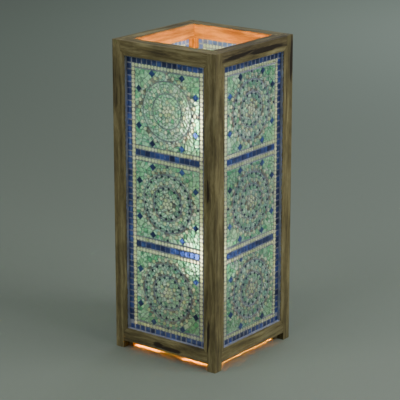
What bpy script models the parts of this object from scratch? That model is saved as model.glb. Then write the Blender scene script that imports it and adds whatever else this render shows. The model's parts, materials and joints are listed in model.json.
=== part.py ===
"""A square wooden table lamp with four mosaic glass panels.

Four rebated posts and eight rails with stub tenons make the frame. In each face, four mitred beads hold a
pane of clear glass that carries the mosaic. A bar across the bottom rails carries two tube stems, and each
stem an E27 lampholder with its bulb. Metres, +Z up, the front faces -Y, and the origin is on the floor under
the middle.
"""

import bmesh
import bpy
from math import cos, pi, radians, sin, tau
from mathutils import Matrix, Vector

for old in list(bpy.data.objects):
    bpy.data.objects.remove(old, do_unlink=True)

# Overall
WIDTH = 0.240  # side of the square plan, over the posts
HEIGHT = 0.604  # floor to the tops of the posts

# Fits
FIT = 0.0003  # gap between pieces that touch
PANE_PLAY = 0.0006  # room round a pane in its rebate

# Frame
BOARD = 0.028  # side of a post and thickness of a rail, outside to inside
POST_FACE = 0.019  # outer face of a post, up to its rebate
TOP_RAIL_FACE = 0.019  # outer face of a top rail, up to its rebate
BOTTOM_RAIL_FACE = 0.0185
FOOT_HEIGHT = 0.0145  # floor to the bottom rails
EASE = 0.0008  # rounding of the arrises that a hand meets
TENON_LENGTH = 0.010
TENON_THICKNESS = 0.006
TENON_HEIGHT = 0.009
TENON_EDGE = 0.004  # rail's outer edge to the first tenon
TENON_STEP = 0.013  # first tenon to the one of the rail round the corner

# Beads and panes
BEAD_WIDTH = 0.0087
BEAD_DEPTH = 0.0080
BEAD_FALL = 0.0010  # how far a bead's face drops towards the mosaic
MOSAIC_THICKNESS = 0.0030
GLASS_THICKNESS = 0.0030

# Bar across the bottom rails
BAR_WIDTH = 0.044
BAR_THICKNESS = 0.012
BAR_HEIGHT = 0.024  # floor to its underside
HOUSING_WALL = 0.0015  # wood left between its housings and the rebates

# Lights: the height of the widest part of each bulb
LOWER_LIGHT = 0.187
UPPER_LIGHT = 0.444

# Stems: M10 tubes
STEM_RADIUS = 0.0050
STEM_BORE = 0.0036
STEM_OFFSET = 0.045  # lamp's axis to the upper stem's foot, towards the rear
CRANK_HEIGHT = 0.075  # height over which the upper stem comes back to the axis
CRANK_BELOW_HOLDER = 0.015
CRANK_STEPS = 14
STEM_IN_HOLDER = 0.009
NUT_ACROSS_FLATS = 0.014
NUT_THICKNESS = 0.004
STEM_BELOW_NUT = 0.002
COLLAR_RADIUS = 0.008
COLLAR_HEIGHT = 0.003

# Lampholder, heights from its lower end
NECK_RADIUS = 0.0085
NECK_HEIGHT = 0.0100
HOLDER_CAP_RADIUS = 0.0195
HOLDER_CAP_HEIGHT = 0.0260
HOLDER_WALL = 0.0024
INSERT_HEIGHT = 0.0090
INSERT_TOP = 0.0275
CONTACT_RADIUS = 0.0040
CONTACT_HEIGHT = 0.0015
SHELL_WALL = 0.0007
SHELL_HEIGHT = 0.0215
SLEEVE_RADIUS = 0.0202
SLEEVE_TOP = 0.0560
MOUTH_RADIUS = 0.0150

# Bulb, heights from the tip of its screw cap
THREAD_RADIUS = 0.01315  # E27, over the crests
THREAD_DEPTH = 0.0009
THREAD_PITCH = 0.003629
THREAD_START = 0.0060
THREAD_TURNS = 4
CAP_RIM_RADIUS = 0.0140
CAP_HEIGHT = 0.0250
CAP_WALL = 0.0006
TIP_RADIUS = 0.0050
TIP_HEIGHT = 0.0010
INSULATOR_RADIUS = 0.0090
INSULATOR_HEIGHT = 0.0040
BULB_RADIUS = 0.0300
BULB_WIDEST = 0.0750
BULB_NECK_RADIUS = 0.0129
BULB_NECK_TOP = 0.0300
BULB_WALL = 0.0009
MOUNT_TOP = 0.0500
FILAMENT_SPAN = 0.0220
FILAMENT_WIRE = 0.0005

# Wiring
LEAD_RADIUS = 0.0019
LEAD_BELOW_INSERT = 0.003
LEAD_CLEARANCE = 0.0017
BLOCK_SIDE = 0.020
BLOCK_THICKNESS = 0.011
BLOCK_FROM_RAIL = 0.009  # rear rail's inner face to the terminal block
ENTRY_HEIGHT = 0.0065  # block's underside to the middle of its wire holes
ENTRY_DEPTH = 0.0050
WELL_DEPTH = 0.0035  # over the terminal screws
TERMINAL_SPACING = 0.011
TERMINAL_SCREW_RADIUS = 0.0017
INLET_OFFSET = 0.055  # lamp's axis to the cord inlet, along the rear rail
INLET_HEIGHT = 0.025
BUSH_BORE = 0.0031
BUSH_RADIUS = 0.0044
BUSH_FLANGE_RADIUS = 0.0068
BUSH_FLANGE = 0.0014

# Wood screws, 3.5 x 16
SCREW_RADIUS = 0.00175
SCREW_HEAD_RADIUS = 0.0034
SCREW_HEAD_HEIGHT = 0.0022
SCREW_LENGTH = 0.016
SCREW_SPACING = 0.028  # the two screws at each end of the bar

TURN_STEPS = 24
FACES = ("front", "right", "rear", "left")
CORNERS = ("front_left", "front_right", "rear_right", "rear_left")

# Worked out from the sizes above
REBATE_DEPTH = BEAD_DEPTH + MOSAIC_THICKNESS + GLASS_THICKNESS + 3 * FIT
LIP = BOARD - POST_FACE  # the wood behind the edge of a pane
OUTER_FACE = -WIDTH / 2  # y of the front
OPENING_HALF = WIDTH / 2 - POST_FACE  # between the posts' outer faces
OPENING_LOW = FOOT_HEIGHT + BOTTOM_RAIL_FACE
OPENING_HIGH = HEIGHT - TOP_RAIL_FACE
RAIL_HALF = OPENING_HALF - FIT  # outer part of a rail
SHOULDER_HALF = WIDTH / 2 - BOARD - FIT  # inner part of a rail, between the posts
TENON_DEPTH = REBATE_DEPTH + (BOARD - REBATE_DEPTH - TENON_THICKNESS) / 2
BAR_HOUSING = BOARD - REBATE_DEPTH - HOUSING_WALL  # how far the bar goes into the front and rear rails
BAR_HALF = WIDTH / 2 - BOARD + BAR_HOUSING
BAR_TOP = BAR_HEIGHT + BAR_THICKNESS
STEM_FOOT = BAR_HEIGHT - NUT_THICKNESS - STEM_BELOW_NUT
TIP_IN_HOLDER = INSERT_TOP + CONTACT_HEIGHT + FIT
SCREW_PLACE = WIDTH / 2 - BOARD + BAR_HOUSING / 2


# Materials


def paint(name, colour, roughness, metallic=0.0, transmission=0.0):
    made = bpy.data.materials.new(name)
    made.use_nodes = True
    shader = made.node_tree.nodes["Principled BSDF"]
    shader.inputs["Base Color"].default_value = (*colour, 1.0)
    shader.inputs["Roughness"].default_value = roughness
    shader.inputs["Metallic"].default_value = metallic
    shader.inputs["Transmission Weight"].default_value = transmission
    return made


POST_WOOD = paint("post_wood", (0.115, 0.078, 0.032), 0.45)
RAIL_WOOD = paint("rail_wood", (0.125, 0.085, 0.035), 0.45)
BEAD_WOOD = paint("bead_wood", (0.095, 0.062, 0.028), 0.5)
BAR_WOOD = paint("bar_wood", (0.20, 0.13, 0.06), 0.6)
MOSAIC = paint("mosaic", (0.06, 0.14, 0.22), 0.25)
CLEAR_GLASS = paint("clear_glass", (0.92, 0.97, 0.95), 0.02, transmission=1.0)
BULB_GLASS = paint("bulb_glass", (1.0, 0.90, 0.75), 0.2, transmission=0.6)
BRASS = paint("brass", (0.60, 0.42, 0.16), 0.3, 1.0)
ZINC_STEEL = paint("zinc_steel", (0.55, 0.55, 0.53), 0.35, 1.0)
ALUMINIUM = paint("aluminium", (0.70, 0.70, 0.70), 0.3, 1.0)
PORCELAIN = paint("porcelain", (0.78, 0.76, 0.70), 0.3)
BLACK_PLASTIC = paint("black_plastic", (0.02, 0.02, 0.02), 0.4)
WHITE_PLASTIC = paint("white_plastic", (0.70, 0.70, 0.68), 0.4)
PVC = paint("lead_pvc", (0.55, 0.53, 0.48), 0.5)


# Building blocks


def mesh_of(bm, name, smooth=False):
    bmesh.ops.recalc_face_normals(bm, faces=bm.faces)
    mesh = bpy.data.meshes.new(name)
    bm.to_mesh(mesh)
    bm.free()
    if smooth:
        mesh.shade_smooth()
        mesh.set_sharp_from_angle(angle=radians(35))
    return mesh


def place(name, mesh, finish=None, parent=None, at=(0, 0, 0)):
    obj = bpy.data.objects.new(name, mesh)
    bpy.context.scene.collection.objects.link(obj)
    obj.parent = parent
    obj.location = at
    if finish:
        obj.data.materials.clear()
        obj.data.materials.append(finish)
    return obj


def empty(name, at=(0, 0, 0), turn=0.0):
    obj = bpy.data.objects.new(name, None)
    bpy.context.scene.collection.objects.link(obj)
    obj.location = at
    obj.rotation_euler.z = turn
    obj.empty_display_size = 0.02
    return obj


def helper(name, mesh, parent=None):
    """A shape that only cuts or adds to others."""
    obj = place(name, mesh, parent=parent)
    obj.hide_render = True
    obj.display_type = "WIRE"
    return obj


def join_or_cut(obj, other, operation="DIFFERENCE"):
    modifier = obj.modifiers.new(other.name, "BOOLEAN")
    modifier.operation = operation
    modifier.object = other


def add_box(bm, low, high):
    low, high = Vector(low), Vector(high)
    size = Matrix.Diagonal((*(high - low), 1.0))
    made = bmesh.ops.create_cube(bm, size=1.0, matrix=Matrix.Translation((low + high) / 2) @ size)
    return made["verts"]


def add_cylinder(bm, radius, low, high, segments=TURN_STEPS):
    """A cylinder or prism between two points that differ along one axis."""
    low, high = Vector(low), Vector(high)
    along = (high - low).to_track_quat("Z", "Y").to_matrix().to_4x4()
    matrix = Matrix.Translation((low + high) / 2) @ along
    bmesh.ops.create_cone(
        bm, cap_ends=True, segments=segments, radius1=radius, radius2=radius,
        depth=(high - low).length, matrix=matrix,
    )


def add_turned(bm, outline, at=(0, 0, 0), steps=TURN_STEPS):
    """Turns an outline of (radius, height) about Z. It is a loop, or it starts and ends on the axis."""
    verts = [bm.verts.new((at[0] + radius, at[1], at[2] + height)) for radius, height in outline]
    edges = [bm.edges.new(pair) for pair in zip(verts, verts[1:])]
    if outline[0][0] > 0:
        edges.append(bm.edges.new((verts[-1], verts[0])))
    bmesh.ops.spin(
        bm, geom=verts + edges, cent=at, axis=(0, 0, 1), angle=tau, steps=steps, use_merge=True,
    )
    bmesh.ops.remove_doubles(bm, verts=bm.verts, dist=1e-6)


def turned(name, outline, steps=TURN_STEPS):
    bm = bmesh.new()
    add_turned(bm, outline, steps=steps)
    return mesh_of(bm, name, smooth=True)


def box(name, low, high):
    bm = bmesh.new()
    add_box(bm, low, high)
    return mesh_of(bm, name)


def ease(bm, wanted):
    """Rounds the edges whose two ends both satisfy wanted."""
    edges = [edge for edge in bm.edges if all(wanted(vert.co) for vert in edge.verts)]
    bmesh.ops.bevel(
        bm, geom=edges, offset=EASE, offset_type="OFFSET", segments=2, profile=0.5,
        affect="EDGES", material=-1, clamp_overlap=True,
    )


def near(value, target):
    return abs(value - target) < 1e-6


def smooth_route(points, spans):
    """Points on a Catmull-Rom curve through the route's own points."""
    points = [Vector(point) for point in points]
    ends = [2 * points[0] - points[1]] + points + [2 * points[-1] - points[-2]]
    route = []
    for a, b, c, d in zip(ends, ends[1:], ends[2:], ends[3:]):
        for step in range(spans):
            t = step / spans
            route.append(
                0.5 * (2 * b + (c - a) * t + (2 * a - 5 * b + 4 * c - d) * t**2
                       + (3 * b - a - 3 * c + d) * t**3)
            )
    return route + [points[-1]]


def rod_mesh(name, points, radius, resolution=2):
    """A closed rod along the points."""
    curve = bpy.data.curves.new(name, "CURVE")
    curve.dimensions = "3D"
    curve.bevel_depth = radius
    curve.bevel_resolution = resolution
    curve.use_fill_caps = True
    spline = curve.splines.new("POLY")
    spline.points.add(len(points) - 1)
    for point, place_of in zip(spline.points, points):
        point.co = (*place_of, 1.0)
    obj = bpy.data.objects.new(name, curve)
    bpy.context.scene.collection.objects.link(obj)
    graph = bpy.context.evaluated_depsgraph_get()
    mesh = bpy.data.meshes.new_from_object(obj.evaluated_get(graph))
    mesh.name = name
    bpy.data.objects.remove(obj, do_unlink=True)
    bm = bmesh.new()
    bm.from_mesh(mesh)
    bmesh.ops.remove_doubles(bm, verts=bm.verts, dist=1e-6)
    bpy.data.meshes.remove(mesh)
    return mesh_of(bm, name, smooth=True)


# Frame


def post_mesh():
    """The post at the front left corner: a square with a rebate in each of its two inner sides."""
    inner = BOARD
    section = (
        (0, 0), (POST_FACE, 0), (POST_FACE, REBATE_DEPTH), (inner, REBATE_DEPTH),
        (inner, inner), (REBATE_DEPTH, inner), (REBATE_DEPTH, POST_FACE), (0, POST_FACE),
    )
    bm = bmesh.new()
    corner = -WIDTH / 2
    foot = bm.faces.new([bm.verts.new((corner + x, corner + y, 0)) for x, y in section])
    top = bmesh.ops.extrude_face_region(bm, geom=[foot])["geom"]
    bmesh.ops.translate(
        bm, verts=[part for part in top if isinstance(part, bmesh.types.BMVert)], vec=(0, 0, HEIGHT)
    )
    ease(bm, lambda co: near(co.x, corner) and near(co.y, corner))
    ease(bm, lambda co: near(co.x, corner + BOARD) and near(co.y, corner + BOARD))
    return mesh_of(bm, "post")


def rail_mesh(name, edge, face_height, up):
    """A rail of the front: its outer part reaches the posts' faces, its inner part stands between the posts.

    edge is the height of its outer edge, and up is 1 where the pane is above it and -1 where it is below.
    """
    back = OUTER_FACE + BOARD
    rebate = OUTER_FACE + REBATE_DEPTH
    ear = rebate - FIT
    bm = bmesh.new()
    outer = [
        (-RAIL_HALF, OUTER_FACE), (RAIL_HALF, OUTER_FACE), (RAIL_HALF, ear), (SHOULDER_HALF, ear),
        (SHOULDER_HALF, rebate), (-SHOULDER_HALF, rebate), (-SHOULDER_HALF, ear), (-RAIL_HALF, ear),
    ]
    verts = [bm.verts.new((x, y, edge)) for x, y in outer]
    outer_face = bm.faces.new(verts)
    inner_verts = [bm.verts.new((x, back, edge)) for x in (SHOULDER_HALF, -SHOULDER_HALF)]
    inner_face = bm.faces.new([verts[5], verts[4], *inner_verts])
    made = bmesh.ops.extrude_face_region(bm, geom=[outer_face, inner_face])["geom"]
    bmesh.ops.translate(
        bm, verts=[part for part in made if isinstance(part, bmesh.types.BMVert)],
        vec=(0, 0, up * face_height),
    )
    level = edge + up * face_height
    lip = next(
        face for face in bm.faces
        if all(near(vert.co.z, level) and vert.co.y > ear + 1e-6 for vert in face.verts)
    )
    made = bmesh.ops.extrude_face_region(bm, geom=[lip])["geom"]
    bmesh.ops.translate(
        bm, verts=[part for part in made if isinstance(part, bmesh.types.BMVert)], vec=(0, 0, up * LIP)
    )
    bmesh.ops.delete(bm, geom=[lip], context="FACES_ONLY")
    ease(bm, lambda co: near(co.y, OUTER_FACE) and near(co.z, edge))
    ease(bm, lambda co: near(co.y, back) and near(co.z, edge))
    return mesh_of(bm, name)


def tenon_bar(name, edge, up, step, room):
    """A bar right through a rail whose ends are its two tenons, grown by room for the mortises."""
    reach = SHOULDER_HALF + TENON_LENGTH + room
    near_edge = edge + up * (TENON_EDGE + step)
    far_edge = near_edge + up * TENON_HEIGHT
    front = OUTER_FACE + TENON_DEPTH
    return box(
        name,
        (-reach, front - room, min(near_edge, far_edge) - room),
        (reach, front + TENON_THICKNESS + room, max(near_edge, far_edge) + room),
    )


def bead_mesh(name, side):
    """One mitred bead. Its section is laid at the middle of the side, drawn out, and its ends are mitred."""
    low, high = OPENING_LOW + FIT, OPENING_HIGH - FIT
    upright = side in ("left", "right")
    half = (high - low) / 2 if upright else OPENING_HALF - FIT
    width = BEAD_WIDTH - FIT
    section = ((0, 0), (width, BEAD_FALL), (width, BEAD_DEPTH), (0, BEAD_DEPTH))
    bm = bmesh.new()
    start = bm.faces.new([bm.verts.new((-half, across, depth)) for across, depth in section])
    made = bmesh.ops.extrude_face_region(bm, geom=[start])["geom"]
    bmesh.ops.translate(
        bm, verts=[part for part in made if isinstance(part, bmesh.types.BMVert)], vec=(2 * half, 0, 0)
    )
    middle = (low + high) / 2
    for vert in bm.verts:
        along, across, depth = vert.co
        along -= (across + FIT) * (1 if along > 0 else -1)
        y = OUTER_FACE + depth
        vert.co = {
            "bottom": (along, y, low + across),
            "top": (along, y, high - across),
            "left": (-OPENING_HALF + FIT + across, y, middle + along),
            "right": (OPENING_HALF - FIT - across, y, middle + along),
        }[side]
    return mesh_of(bm, name)


def pane_mesh(name, depth, thickness):
    half = OPENING_HALF - PANE_PLAY
    front = OUTER_FACE + depth
    return box(
        name, (-half, front, OPENING_LOW + FIT), (half, front + thickness, OPENING_HIGH - PANE_PLAY)
    )


sides = [empty(f"side_{name}", turn=turn * pi / 2) for turn, name in enumerate(FACES)]

# The tenons of the front and rear rails lie outside those of the side rails, so that none meet in a post.
mortises = {"top": [], "bottom": []}
rails = {}
for level, edge, face_height, up in (
    ("top", HEIGHT, TOP_RAIL_FACE, -1),
    ("bottom", FOOT_HEIGHT, BOTTOM_RAIL_FACE, 1),
):
    shape = rail_mesh(f"{level}_rail", edge, face_height, up)
    for turn, face in enumerate(FACES):
        step = TENON_STEP * (turn % 2)
        rail = place(f"{level}_rail_{face}", shape, RAIL_WOOD, sides[turn])
        tenon = helper(f"tenon_{level}_{face}", tenon_bar("tenon", edge, up, step, 0), sides[turn])
        join_or_cut(rail, tenon, "UNION")
        mortise = tenon_bar("mortise", edge, up, step, FIT)
        mortises[level].append(helper(f"mortise_{level}_{face}", mortise, sides[turn]))
        rails[level, face] = rail

post_shape = post_mesh()
for turn, corner in enumerate(CORNERS):
    post = place(f"post_{corner}", post_shape, POST_WOOD, sides[turn])
    for level in ("top", "bottom"):
        for neighbour in (turn, turn - 1):
            join_or_cut(post, mortises[level][neighbour])

bead_shapes = {side: bead_mesh(f"bead_{side}", side) for side in ("top", "bottom", "left", "right")}
mosaic_shape = pane_mesh("mosaic", BEAD_DEPTH + FIT, MOSAIC_THICKNESS)
glass_shape = pane_mesh("glass", BEAD_DEPTH + MOSAIC_THICKNESS + 2 * FIT, GLASS_THICKNESS)
for turn, face in enumerate(FACES):
    for side, shape in bead_shapes.items():
        place(f"bead_{face}_{side}", shape, BEAD_WOOD, sides[turn])
    place(f"mosaic_{face}", mosaic_shape, MOSAIC, sides[turn])
    place(f"glass_{face}", glass_shape, CLEAR_GLASS, sides[turn])


# Bar across the bottom rails, and its stems


def screw_outline(room=0.0):
    """A countersunk wood screw that points up, its head at height 0."""
    shank = SCREW_RADIUS + room
    return (
        (0, -room), (SCREW_HEAD_RADIUS + room, -room), (shank, SCREW_HEAD_HEIGHT),
        (shank, SCREW_LENGTH - 2 * SCREW_RADIUS), (0, SCREW_LENGTH + room),
    )


bar = place(
    "base_bar",
    box("base_bar", (-BAR_WIDTH / 2, -BAR_HALF + FIT, BAR_HEIGHT), (BAR_WIDTH / 2, BAR_HALF - FIT, BAR_TOP)),
    BAR_WOOD,
)
housing = helper(
    "housing",
    box(
        "housing",
        (-BAR_WIDTH / 2 - FIT, -BAR_HALF, FOOT_HEIGHT / 2),
        (BAR_WIDTH / 2 + FIT, BAR_HALF, BAR_TOP + FIT),
    ),
)

block_y = WIDTH / 2 - BOARD - BLOCK_FROM_RAIL - BLOCK_SIDE / 2
block_low = BAR_HEIGHT - FIT - BLOCK_THICKNESS
screw_places = [
    (across * SCREW_SPACING / 2, along * SCREW_PLACE, BAR_HEIGHT)
    for across in (-1, 1) for along in (-1, 1)
] + [(0, block_y, block_low)]

block_screw = turned("block_screw", screw_outline(), 12)
place("block_screw", block_screw, ZINC_STEEL, at=(0, block_y, block_low))
bm = bmesh.new()
for spot in screw_places:
    add_turned(bm, screw_outline(FIT), spot, 12)
screw_holes = helper("screw_holes", mesh_of(bm, "screw_holes"))

stem_feet = ((0, 0), (0, STEM_OFFSET))
bm = bmesh.new()
for x, y in stem_feet:
    add_cylinder(bm, STEM_RADIUS + FIT, (x, y, 0), (x, y, BAR_TOP + COLLAR_HEIGHT))
stem_holes = helper("stem_holes", mesh_of(bm, "stem_holes"))
join_or_cut(bar, stem_holes)
join_or_cut(bar, screw_holes)
for face in ("front", "rear"):
    join_or_cut(rails["bottom", face], housing)
    join_or_cut(rails["bottom", face], screw_holes)

for name, (x, y) in zip(("lower", "upper"), stem_feet):
    bm = bmesh.new()
    top = BAR_HEIGHT - FIT
    corner_radius = NUT_ACROSS_FLATS / 2 / cos(pi / 6)
    add_cylinder(bm, corner_radius, (x, y, top - NUT_THICKNESS), (x, y, top), segments=6)
    nut = place(f"stem_nut_{name}", mesh_of(bm, "stem_nut"), ZINC_STEEL)
    join_or_cut(nut, stem_holes)

lower_tip = LOWER_LIGHT - BULB_WIDEST
upper_tip = UPPER_LIGHT - BULB_WIDEST
lower_holder = lower_tip - TIP_IN_HOLDER
upper_holder = upper_tip - TIP_IN_HOLDER

lower_route = [Vector((0, 0, STEM_FOOT)), Vector((0, 0, lower_holder + STEM_IN_HOLDER))]
crank_top = upper_holder - CRANK_BELOW_HOLDER


def crank_point(step):
    """The upper stem comes back to the axis along an even S."""
    share = step / CRANK_STEPS
    drawn_in = share * share * (3 - 2 * share)
    return Vector((0, STEM_OFFSET * (1 - drawn_in), crank_top - CRANK_HEIGHT * (1 - share)))


upper_route = (
    [Vector((0, STEM_OFFSET, STEM_FOOT))]
    + [crank_point(step) for step in range(CRANK_STEPS + 1)]
    + [Vector((0, 0, upper_holder + STEM_IN_HOLDER))]
)


def stem(name, route):
    """A tube along the route, open at both ends, with a collar that stands on the bar."""
    tube = place(name, rod_mesh(name, route, STEM_RADIUS, 4), BRASS)
    bm = bmesh.new()
    foot = Vector((route[0].x, route[0].y, BAR_TOP + FIT))
    add_cylinder(bm, COLLAR_RADIUS, foot, foot + Vector((0, 0, COLLAR_HEIGHT)))
    join_or_cut(tube, helper(f"{name}_collar", mesh_of(bm, "collar")), "UNION")
    overshoot = Vector((0, 0, STEM_BORE))
    inside = [route[0] - overshoot, *route[1:-1], route[-1] + overshoot]
    join_or_cut(tube, helper(f"{name}_bore", rod_mesh(f"{name}_bore", inside, STEM_BORE, 2)))
    return tube


stem("stem_lower", lower_route)
stem("stem_upper", upper_route)


# Lampholders and bulbs


def holder_cap_outline():
    """A cup with a neck that takes the stem."""
    bore = STEM_RADIUS + FIT
    inside = HOLDER_CAP_RADIUS - HOLDER_WALL
    flare = NECK_HEIGHT + (HOLDER_CAP_RADIUS - NECK_RADIUS) / 2
    return (
        (bore, 0), (NECK_RADIUS, 0), (NECK_RADIUS, NECK_HEIGHT), (HOLDER_CAP_RADIUS, flare),
        (HOLDER_CAP_RADIUS, HOLDER_CAP_HEIGHT), (inside, HOLDER_CAP_HEIGHT),
        (inside, flare + HOLDER_WALL), (NECK_RADIUS, NECK_HEIGHT + HOLDER_WALL),
        (bore, NECK_HEIGHT + HOLDER_WALL),
    )


def insert_outline():
    radius = HOLDER_CAP_RADIUS - HOLDER_WALL - FIT
    low = INSERT_TOP - INSERT_HEIGHT
    return (
        (0, low), (radius, low), (radius, INSERT_TOP), (CONTACT_RADIUS, INSERT_TOP),
        (CONTACT_RADIUS, INSERT_TOP + CONTACT_HEIGHT), (0, INSERT_TOP + CONTACT_HEIGHT),
    )


def shell_outline():
    """The threaded shell. Its crests clear those of the bulb, so that the bulb can be drawn straight out."""
    low = INSERT_TOP + FIT
    clear = THREAD_RADIUS + FIT
    outline = [(clear, low), (clear + SHELL_WALL, low)]
    turns = int(SHELL_HEIGHT / THREAD_PITCH)
    for turn in range(turns):
        start = low + THREAD_PITCH * (turn + 0.5)
        outline.append((clear + SHELL_WALL, start))
        outline.append((clear + SHELL_WALL + THREAD_DEPTH / 2, start + THREAD_PITCH / 2))
    top = low + SHELL_HEIGHT
    return outline + [(clear + SHELL_WALL, top), (clear, top)]


def sleeve_outline():
    low = HOLDER_CAP_HEIGHT + FIT
    inside = SLEEVE_RADIUS - HOLDER_WALL
    return (
        (inside, low), (SLEEVE_RADIUS, low), (SLEEVE_RADIUS, SLEEVE_TOP - HOLDER_WALL / 2),
        (SLEEVE_RADIUS - HOLDER_WALL / 2, SLEEVE_TOP), (MOUTH_RADIUS, SLEEVE_TOP),
        (MOUTH_RADIUS, SLEEVE_TOP - HOLDER_WALL), (inside, SLEEVE_TOP - HOLDER_WALL),
    )


def bulb_cap_outline():
    """The E27 screw cap: contact, insulating cone, thread, and a rim round the neck of the glass."""
    root = THREAD_RADIUS - THREAD_DEPTH
    outline = [
        (0, 0), (TIP_RADIUS * 0.9, 0), (TIP_RADIUS, TIP_HEIGHT), (INSULATOR_RADIUS, INSULATOR_HEIGHT),
        (root, THREAD_START),
    ]
    for turn in range(THREAD_TURNS):
        start = THREAD_START + THREAD_PITCH * turn
        outline.append((THREAD_RADIUS, start + THREAD_PITCH / 2))
        outline.append((root, start + THREAD_PITCH))
    rim_low = THREAD_START + THREAD_PITCH * THREAD_TURNS
    seat = rim_low + CAP_WALL
    neck = BULB_NECK_RADIUS + FIT
    bore = root - CAP_WALL
    return outline + [
        (CAP_RIM_RADIUS, rim_low + THREAD_DEPTH), (CAP_RIM_RADIUS, CAP_HEIGHT), (neck, CAP_HEIGHT),
        (neck, seat + THREAD_DEPTH), (bore, seat), (bore, THREAD_START + CAP_WALL),
        (0, THREAD_START + CAP_WALL),
    ]


def bulb_curve(shrink):
    """Half outline of the glass, from the neck's lower end to the top. shrink moves it inwards."""
    low = THREAD_START + THREAD_PITCH * THREAD_TURNS + THREAD_DEPTH + CAP_WALL + FIT
    points = [(BULB_NECK_RADIUS - shrink, low), (BULB_NECK_RADIUS - shrink, BULB_NECK_TOP)]
    for step in range(1, 8):
        share = step / 7
        swell = (1 - cos(pi * share)) / 2
        radius = BULB_NECK_RADIUS + (BULB_RADIUS - BULB_NECK_RADIUS) * swell
        points.append((radius - shrink, BULB_NECK_TOP + (BULB_WIDEST - BULB_NECK_TOP) * share))
    for step in range(1, 7):
        angle = pi / 2 * step / 6
        radius = BULB_RADIUS - shrink
        points.append((radius * cos(angle) if step < 6 else 0, BULB_WIDEST + radius * sin(angle)))
    return points


def bulb_glass_outline():
    return bulb_curve(BULB_WALL)[::-1] + bulb_curve(0)


def mount_outline():
    """The glass foot that carries the filament inside the neck."""
    flare = BULB_NECK_RADIUS - BULB_WALL - 2 * FIT
    low = THREAD_START + THREAD_PITCH * THREAD_TURNS + THREAD_DEPTH + CAP_WALL + FIT
    return (
        (0, low), (flare, low), (flare * 0.8, low + 0.002), (flare * 0.4, BULB_NECK_TOP),
        (0.0030, BULB_NECK_TOP + 0.006), (0.0034, MOUNT_TOP), (0, MOUNT_TOP + 0.0010),
    )


def filament_route():
    half = FILAMENT_SPAN / 2
    sunk = MOUNT_TOP - 0.004
    top = BULB_WIDEST
    return smooth_route(
        (
            (-0.0018, 0, sunk), (-0.0020, 0, MOUNT_TOP + 0.004), (-half * 0.75, 0, top - 0.007),
            (-half, 0, top - 0.001), (-half * 0.5, 0, top + 0.001), (0, 0, top + 0.0015),
            (half * 0.5, 0, top + 0.001), (half, 0, top - 0.001), (half * 0.75, 0, top - 0.007),
            (0.0020, 0, MOUNT_TOP + 0.004), (0.0018, 0, sunk),
        ),
        2,
    )


holder_shapes = {
    "cap": (turned("holder_cap", holder_cap_outline()), BLACK_PLASTIC),
    "insert": (turned("holder_insert", insert_outline()), PORCELAIN),
    "shell": (turned("holder_shell", shell_outline()), BRASS),
    "sleeve": (turned("holder_sleeve", sleeve_outline()), BLACK_PLASTIC),
}
bulb_cap_shape = turned("bulb_cap", bulb_cap_outline())
bulb_glass_shape = turned("bulb_glass", bulb_glass_outline())
mount_shape = turned("bulb_mount", mount_outline(), 16)
filament_shape = rod_mesh("filament", filament_route(), FILAMENT_WIRE, 1)
for level, holder, tip in (("lower", lower_holder, lower_tip), ("upper", upper_holder, upper_tip)):
    for piece, (shape, finish) in holder_shapes.items():
        place(f"holder_{level}_{piece}", shape, finish, at=(0, 0, holder))
    # The bulb turns and rises about this axis.
    axis = empty(f"bulb_{level}_axis", at=(0, 0, tip))
    place(f"bulb_{level}_cap", bulb_cap_shape, ALUMINIUM, axis)
    place(f"bulb_{level}_glass", bulb_glass_shape, BULB_GLASS, axis)
    mount = place(f"bulb_{level}_mount", mount_shape, ZINC_STEEL, axis)
    join_or_cut(mount, helper(f"filament_{level}", filament_shape, axis), "UNION")


# Wiring: each lead runs down its stem and under the bar to the terminal block

entry_y = block_y - BLOCK_SIDE / 2
entry_z = block_low + ENTRY_HEIGHT
entry_half = TERMINAL_SPACING / 2
block = place(
    "terminal_block",
    box(
        "terminal_block",
        (-BLOCK_SIDE / 2, block_y - BLOCK_SIDE / 2, block_low),
        (BLOCK_SIDE / 2, block_y + BLOCK_SIDE / 2, block_low + BLOCK_THICKNESS),
    ),
    WHITE_PLASTIC,
)
terminal_places = [
    (across * entry_half, block_y + along * BLOCK_SIDE / 4, block_low)
    for across in (-1, 1) for along in (-1, 1)
]
bm = bmesh.new()
for x, y, z in terminal_places:
    add_cylinder(bm, TERMINAL_SCREW_RADIUS + FIT, (x, y, z - WELL_DEPTH), (x, y, z + WELL_DEPTH), 16)
for across in (-1, 1):
    for face_y, inward in ((entry_y, 1), (entry_y + BLOCK_SIDE, -1)):
        x = across * entry_half
        add_cylinder(
            bm, LEAD_RADIUS + FIT,
            (x, face_y - inward * ENTRY_DEPTH, entry_z), (x, face_y + inward * ENTRY_DEPTH, entry_z), 16,
        )
join_or_cut(block, helper("terminal_holes", mesh_of(bm, "terminal_holes")))
join_or_cut(block, screw_holes)


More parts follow.
